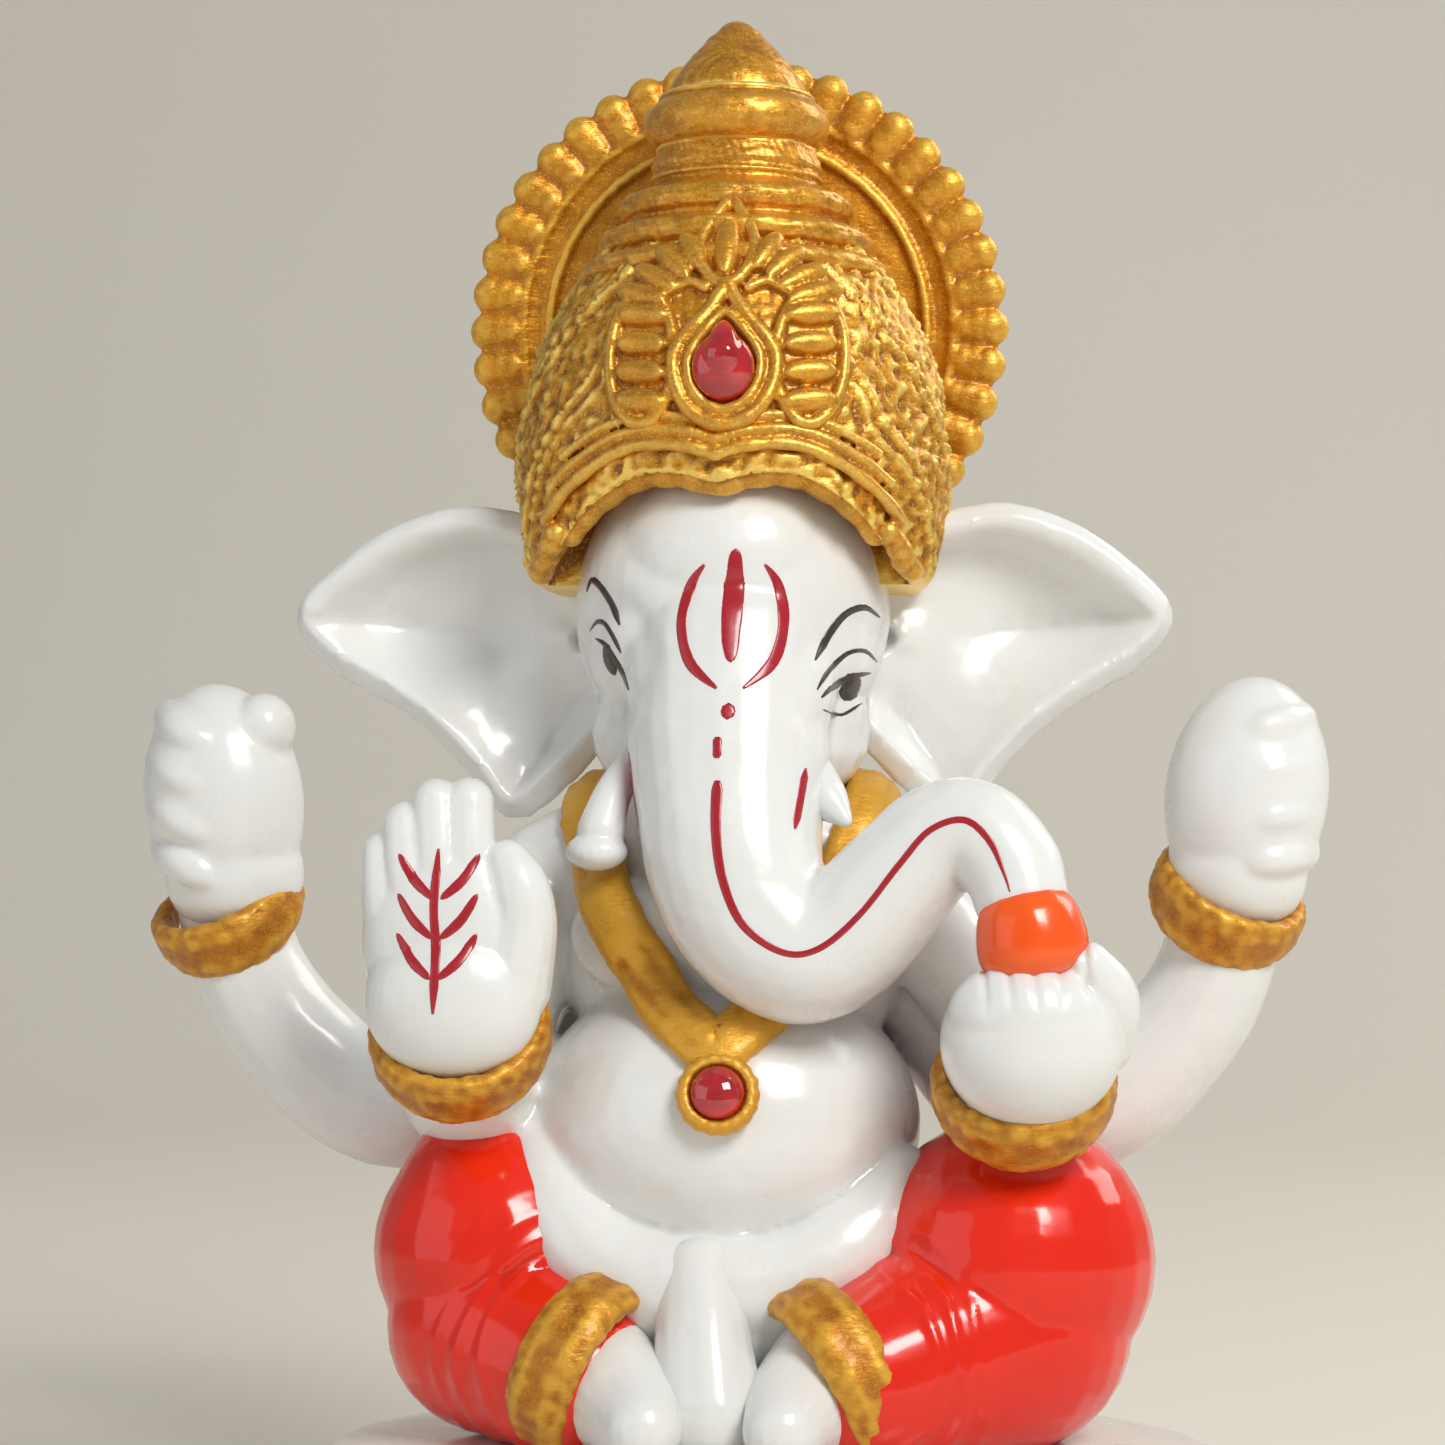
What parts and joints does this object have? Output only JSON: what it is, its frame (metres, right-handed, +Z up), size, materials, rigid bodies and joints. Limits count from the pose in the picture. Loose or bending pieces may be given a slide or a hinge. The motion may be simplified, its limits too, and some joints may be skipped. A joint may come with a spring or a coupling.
{
  "type": "ganesha idol",
  "caption": "Small seated elephant-headed idol with crown, halo and upraised hands, white resin with gold, red and orange paint, on an oval cushion seat.",
  "frame": {"origin": "on the flat underside of the seat, below the middle of the head", "axes": "+Z up to the tip of the crown, -Y the way the idol faces, +X the idol's own left"},
  "size_m": [0.0964, 0.053, 0.1278],
  "materials": {
    "white_resin": "polished white marble-dust resin, slightly translucent",
    "gold_paint": "brushed metallic gold paint with fine flake, browner in the recesses",
    "halo_gold": "smoother, yellower metallic gold paint",
    "red_enamel": "glossy red enamel over the casting",
    "orange_enamel": "glossy orange enamel",
    "ruby_enamel": "glossy crimson enamel",
    "seat_white": "polished white marble-dust resin",
    "seat_gold": "brushed metallic gold paint"
  },
  "bodies": {
    "root": {"crown_brim": "gold_paint", "crown_cap": "gold_paint", "crown_drum": "gold_paint", "crown_finial": "gold_paint", "crown_medallion": "gold_paint", "crown_stone": "ruby_enamel", "crown_tiers": "gold_paint", "dhoti_seat": "red_enamel", "ear_left": "white_resin", "ear_right": "white_resin", "foot_left": "white_resin", "foot_right": "white_resin", "front_arm_left": "white_resin", "front_arm_right": "white_resin", "front_cuff_left": "gold_paint", "front_cuff_right": "gold_paint", "front_hand_left": "white_resin", "front_hand_right": "white_resin", "front_pleat": "white_resin", "halo": "halo_gold", "head": "white_resin", "hem_left": "gold_paint", "hem_right": "gold_paint", "leg_left": "red_enamel", "leg_right": "red_enamel", "modak": "orange_enamel", "necklace": "gold_paint", "pendant_setting": "gold_paint", "pendant_stone": "ruby_enamel", "rear_arm_left": "white_resin", "rear_arm_right": "white_resin", "rear_cuff_left": "gold_paint", "rear_cuff_right": "gold_paint", "rear_hand_left": "white_resin", "rear_hand_right": "white_resin", "seat_cushion": "seat_white", "seat_plinth": "seat_gold", "torso": "white_resin", "tusk_left": "white_resin", "tusk_right": "white_resin"}
  },
  "joints": []
}
